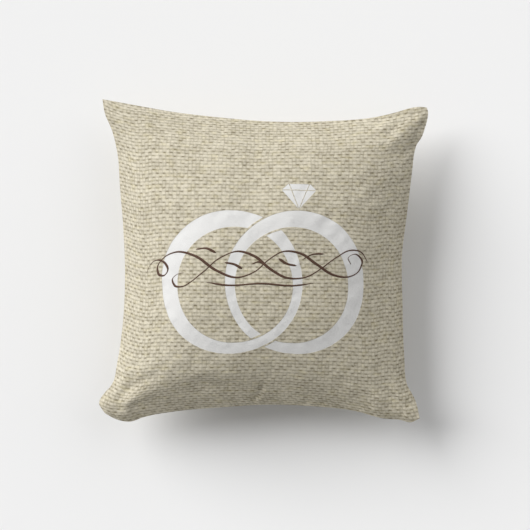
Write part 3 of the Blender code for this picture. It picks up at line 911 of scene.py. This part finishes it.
def insert():
    under = COVER_CLOTH + LOOSE
    for word, grid, side in (("front", front, UP), ("back", back, DOWN)):
        layer = inner_layer(grid, side, INSERT_SHARE, under)
        piece = panel(
            f"insert_{word}",
            layer,
            layer[..., :2],
            side,
            INSERT_CLOTH,
            INSERT_ALLOWANCE,
            lambda x, y, inset: SEAM_GAP,
        )
        for _ in range(3):
            piece.data.materials.append(paints["insert_lining"])
        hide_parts(f"insert_{word}_panel")
    under += INSERT_CLOTH + LOOSE
    points, faces = [], []
    for side, grid in ((UP, front), (DOWN, back)):
        corners = quads(numbered(COUNT, len(points)))
        faces += (corners if side == UP else corners[:, ::-1]).tolist()
        points += list(inner_layer(grid, side, FILL_SHARE, under).reshape(-1, 3))
    half = COUNT * COUNT
    rim = [j * COUNT + i for j, i in ring_of(COUNT)]
    faces += [[b, a, a + half, b + half] for a, b in zip(rim, rim[1:] + rim[:1])]
    fill = new_object("fibre_wadding", points, faces)
    fill.data.materials.append(paints["polyester_fibre"])
    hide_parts("fibre_fill")


insert()


CORNER_CUT = 0.1  # how far sewn pieces turn inside a corner, as a share of the way in
CORNER_START = 0.9  # how far out along a side they begin to turn
ROOM_SHARE = 0.85  # the most of the room under the front panel that they take
SEAM_INSET = 3 * MM  # from a panel's edge to its line of thread
THREAD_CLEAR = 0.3 * MM  # between thread and cloth
OVERLOCK_NEAR, OVERLOCK_THICK = 1.6 * MM, 0.35 * MM  # how far back it reaches, its thickness
OFF_ZIP = 160 * MM  # beyond this x the zip's side is sewn shut too
CLOSING_HALF, CLOSING_SIDE = 75 * MM, -100 * MM  # the gap in the insert's seam


def sewn(name, grid, spans, sections, paint, node):
    """Pieces swept along a panel's seam: sections are lists of (inset, rise) round each."""
    count = len(grid)
    s, t = ring_places(count)
    ring = at_places(grid, s, t)[:, :2]
    chosen = spans(ring)
    order = np.arange(len(ring))
    gap = np.flatnonzero(~chosen)
    if len(gap):
        order = np.roll(order, -gap[-1] - 1)
    order = order[chosen[order]]
    cut = CORNER_CUT * smooth(np.minimum(np.abs(s), np.abs(t)), CORNER_START, 1)
    size = len(sections)
    points = np.empty((len(order), size, 3))
    reach = max(abs(rise) for _, rise in sections)
    outside = 1 - min(inset for inset, _ in sections) / SIDE_HALF - cut
    room = at_places(grid, s * outside, t * outside)[:, 2] - SEAM
    squeeze = np.clip(ROOM_SHARE * room / reach, 0, 1)[order]
    for k, (inset, rise) in enumerate(sections):
        share = (1 - inset / SIDE_HALF - cut)[order]
        points[:, k, :2] = ring[order] * share[:, None]
        points[:, k, 2] = SEAM + rise * squeeze
    faces = []
    steps = len(order) - (1 if len(gap) else 0)
    for k in range(steps):
        here, there = k * size, (k + 1) % len(order) * size
        for c in range(size):
            d = (c + 1) % size
            faces.append((here + c, here + d, there + d, there + c))
    if len(gap):
        faces.append(tuple(range(size))[::-1])
        faces.append(tuple(range((len(order) - 1) * size, len(order) * size)))
    piece = new_object(name, points.reshape(-1, 3), faces)
    piece.data.materials.append(paint)
    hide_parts(node)


def round_section(inset, rise, sides=6):
    turns = [2 * math.pi * i / sides for i in range(sides)]
    half = THREAD / 2
    return [(inset + half * math.cos(a), rise + half * math.sin(a)) for a in turns]


def sewing():
    def off_zip(ring):
        return ~((np.abs(ring[:, 0]) < OFF_ZIP) & (ring[:, 1] < ZIP_SIDE))

    def at_gap(ring):
        return (np.abs(ring[:, 0]) < CLOSING_HALF) & (ring[:, 1] < CLOSING_SIDE)

    low = SEAM_GAP + COVER_CLOTH + THREAD_CLEAR
    thread = paints["thread"]
    for word, way in (("needle", UP), ("bobbin", DOWN)):
        name = f"cover_seam_{word}_thread"
        line = round_section(SEAM_INSET, way * (low + THREAD / 2))
        sewn(f"{name}_line", front, off_zip, line, thread, name)
    near, out = ALLOWANCE - OVERLOCK_NEAR, ALLOWANCE + THREAD_CLEAR
    far, top = out + OVERLOCK_THICK, low + OVERLOCK_THICK
    wrap = [(near, low), (out, low), (out, -low), (near, -low)]
    wrap += [(near, -top), (far, -top), (far, top), (near, top)]
    sewn("cover_overlock", front, off_zip, wrap, thread, "cover_overlock_thread")
    layer = inner_layer(front, UP, INSERT_SHARE, 0)
    line = round_section(SEAM_INSET, SEAM_GAP + INSERT_CLOTH + THREAD_CLEAR + THREAD / 2)
    white = paints["insert_thread"]
    for word, spans in (("seam", lambda ring: ~at_gap(ring)), ("closing", at_gap)):
        name = f"insert_{word}_thread"
        sewn(f"insert_{word}_line", layer, spans, line, white, name)


sewing()

# The printed flourish's strokes, in millimetres on the flat cloth
FLOURISH = [
    [(-146, -10), (-140, -1), (-129, 4), (-118, 1), (-113, -7), (-118, -14), (-126, -13)]
    + [(-128, -5), (-119, 6), (-101, 13)]
    + [(-78, 8), (-54, -8), (-31, -16), (-9, -9), (6, 4), (23, 14), (44, 12), (63, 0)]
    + [(83, -12), (102, -14), (117, -6), (121, 6), (111, 13), (102, 8), (106, 1)],
    [(-92, -11), (-101, -13), (-107, -19), (-104, -26), (-95, -27), (-83, -21), (-69, -10)]
    + [(-50, 6), (-29, 14), (-9, 8)]
    + [(8, -6), (27, -16), (50, -15), (70, -4), (87, 8), (104, 17), (121, 15), (128, 6)],
    [(-65, -22), (-42, -25), (-3, -23), (36, -25), (59, -22)],
    [(-13, -1), (-5, 2), (3, -1)],
    [(-54, 12), (-65, 17), (-78, 16)],
    [(46, 5), (57, 11), (72, 12)],
    [(-24, -6), (-33, -1), (-44, 1)],
    [(18, 6), (28, 0), (39, -2)],
]
FINE, BROAD = 1.25 * MM, 3.3 * MM  # a stroke's width across the pen and along it
PEN = math.radians(-52)
INK_UNDER, INK_OVER = 0.03 * MM, 0.13 * MM  # off the cloth
INK_STEP = 1.4 * MM  # along a stroke
TAPERED = 0.25  # the share of a stroke's width that is left at its ends


def on_front(flat):
    """The front panel's places and normals at these places of its flat cloth."""
    half = front_flat[len(front_flat) // 2, -1, 0]
    place = flat / half
    for _ in range(8):
        place = place + (flat - at_places(front_flat, *place.T)) / half
    return at_places(front, *place.T), at_places(normals(front), *place.T)


def flourish():
    points, faces = [], []
    for stroke in FLOURISH:
        length = np.linalg.norm(np.diff(np.array(stroke), axis=0), axis=1).sum() * MM
        count = int(length / INK_STEP) + 4
        line = through(stroke, count)
        ahead = np.gradient(line, axis=0)
        ahead /= np.linalg.norm(ahead, axis=1, keepdims=True)
        turn = np.arctan2(ahead[:, 1], ahead[:, 0]) - PEN
        t = np.linspace(0, 1, count)
        taper = smooth(t, -0.01, 0.12) * (1 - smooth(t, 0.88, 1.01))
        half = (FINE + (BROAD - FINE) * np.cos(turn) ** 2) / 2
        half *= TAPERED + (1 - TAPERED) * taper
        across = np.column_stack([-ahead[:, 1], ahead[:, 0]]) * half[:, None]
        rails = []
        for way, off in ((1, INK_UNDER), (-1, INK_UNDER), (-1, INK_OVER), (1, INK_OVER)):
            where, up = on_front(line + way * across)
            rails.append(where + up * off)
        start = len(points)
        points += list(np.stack(rails, 1).reshape(-1, 3))
        for k in range(count - 1):
            here = start + 4 * k
            for c in range(4):
                d = (c + 1) % 4
                faces.append((here + c, here + 4 + c, here + 4 + d, here + d))
        faces.append((start, start + 1, start + 2, start + 3))
        last = start + 4 * (count - 1)
        faces.append((last + 3, last + 2, last + 1, last))
    piece = new_object("print_flourish", points, faces)
    piece.data.materials.append(ink("brown_ink", (0.075, 0.036, 0.021)))


flourish()


LABEL_HALF = 20 * MM  # of its length, along the seam
LABEL_IN = (5, 14)  # where it starts and ends, in millimetres from the panel's edge
LABEL_THICK = 0.3 * MM
LABEL_ROWS, LABEL_COLUMNS = 7, 13


def care_label():
    """A blank satin label caught in the seam at -X, between the cover and the insert."""
    t = np.linspace(-LABEL_HALF, LABEL_HALF, LABEL_COLUMNS) / SIDE_HALF
    outline = []
    for inset in np.linspace(*LABEL_IN, LABEL_ROWS) * MM:
        share = 1 - inset / SIDE_HALF
        where = at_places(front, np.full(LABEL_COLUMNS, -share), t * share)
        where[:, 2] = SEAM + 0.5 * (where[:, 2] - SEAM)
        outline.append(where)
    sheet = np.array(outline)
    thick = normals(np.swapaxes(sheet, 0, 1)) * LABEL_THICK
    thick = np.swapaxes(thick, 0, 1)
    count = LABEL_ROWS * LABEL_COLUMNS
    index = np.arange(count).reshape(LABEL_ROWS, LABEL_COLUMNS)
    corners = quads(index, CLOCKWISE)
    faces = (corners + count).tolist() + corners[:, ::-1].tolist()
    rim = [*index[0, :-1], *index[:-1, -1], *index[-1, :0:-1], *index[:0:-1, 0]]
    loop = [int(k) for k in rim]
    faces += [(b, a, a + count, b + count) for a, b in zip(loop, loop[1:] + loop[:1])]
    points = [*sheet.reshape(-1, 3), *(sheet + thick).reshape(-1, 3)]
    piece = new_object("care_label_satin", points, faces)
    piece.data.materials.append(paints["label_satin"])
    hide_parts("care_label")


care_label()
